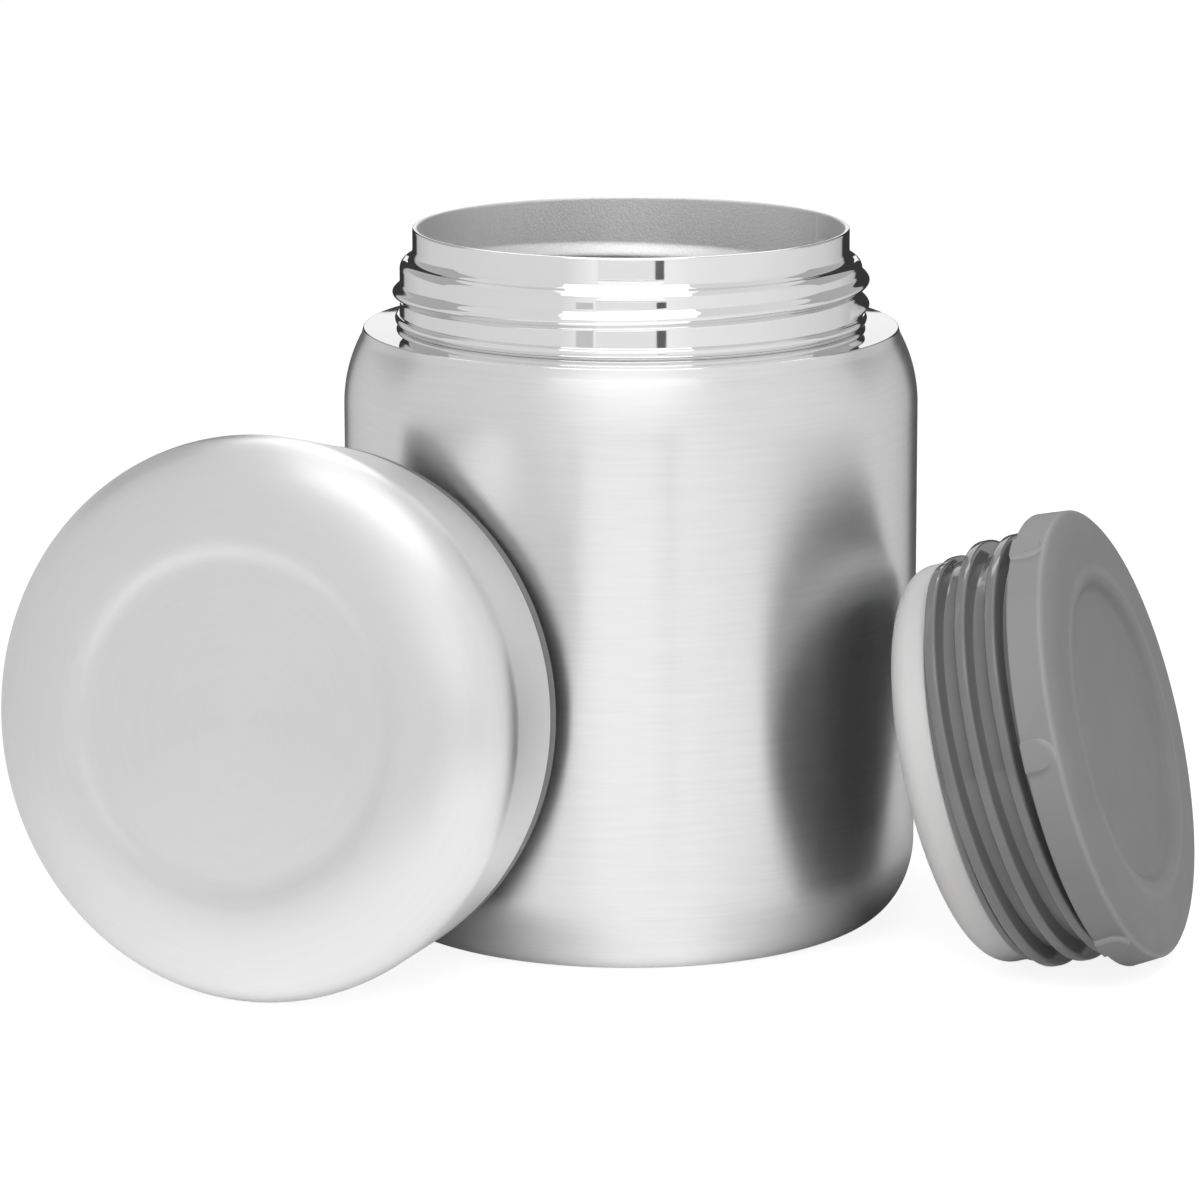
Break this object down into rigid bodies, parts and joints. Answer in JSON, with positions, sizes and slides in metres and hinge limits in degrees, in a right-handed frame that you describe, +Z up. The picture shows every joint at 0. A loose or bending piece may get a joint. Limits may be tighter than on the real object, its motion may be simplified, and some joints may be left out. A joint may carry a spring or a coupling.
{
  "type": "insulated food jar",
  "caption": "Double-walled steel food jar, open, with its screw-on steel lid and screw-in stopper lying on their sides.",
  "frame": {"origin": "centre of the jar's foot ring, on the surface it stands on", "axes": "+Z up along the jar's axis, -Y towards the viewer, so that the lid lies at -X and the stopper at +X"},
  "size_m": [0.201, 0.1279, 0.1195],
  "materials": {
    "body_steel": "brushed round the body, mirror-polished on the neck and shoulder ring",
    "inner_steel": "electropolished satin",
    "hidden_steel": "plain rolled sheet",
    "cap_steel": "plain rolled sheet",
    "lid_steel": "fine brushed satin",
    "copper_foil": "bright foil",
    "solder_glass": "fired, opaque dark",
    "getter_metal": "sintered powder",
    "tape": "adhesive foam tape",
    "liner_plastic": "moulded, half gloss",
    "foam": "closed-cell foam",
    "knob_plastic": "fine spark-eroded texture",
    "plug_plastic": "moulded gloss",
    "silicone": "translucent, soft sheen"
  },
  "bodies": {
    "jar": {"outer_shell": "body_steel", "inner_wall": "inner_steel", "inner_bottom": "inner_steel", "heat_shield_wrap": "copper_foil", "heat_shield_disc": "copper_foil", "outer_bottom": "hidden_steel", "vacuum_plug": "solder_glass", "getter_pellet": "getter_metal", "getter_clip": "hidden_steel", "base_tape": "tape", "base_cap": "cap_steel"},
    "lid": {"lid_shell": "lid_steel", "lid_liner": "liner_plastic", "lid_foam": "foam"},
    "seal": {"stopper_seal": "silicone"},
    "stopper": {"stopper_knob": "knob_plastic", "stopper_plug": "plug_plastic", "stopper_foam": "foam", "stopper_base": "plug_plastic"}
  },
  "joints": [
    {"name": "lid_lift", "type": "slide", "parent": "jar", "child": "lid", "axis": [0, 0, 1], "range_m": [0, 0.13]},
    {"name": "stopper_lift", "type": "slide", "parent": "jar", "child": "seal", "axis": [0, 0, 1], "range_m": [0, 0.13]},
    {"name": "stopper_turn", "type": "hinge", "parent": "seal", "child": "stopper", "pos_m": [0.05514, -0.02842, 0.03194], "axis": [0.9173, -0.2919, 0.2708], "continuous": true}
  ]
}
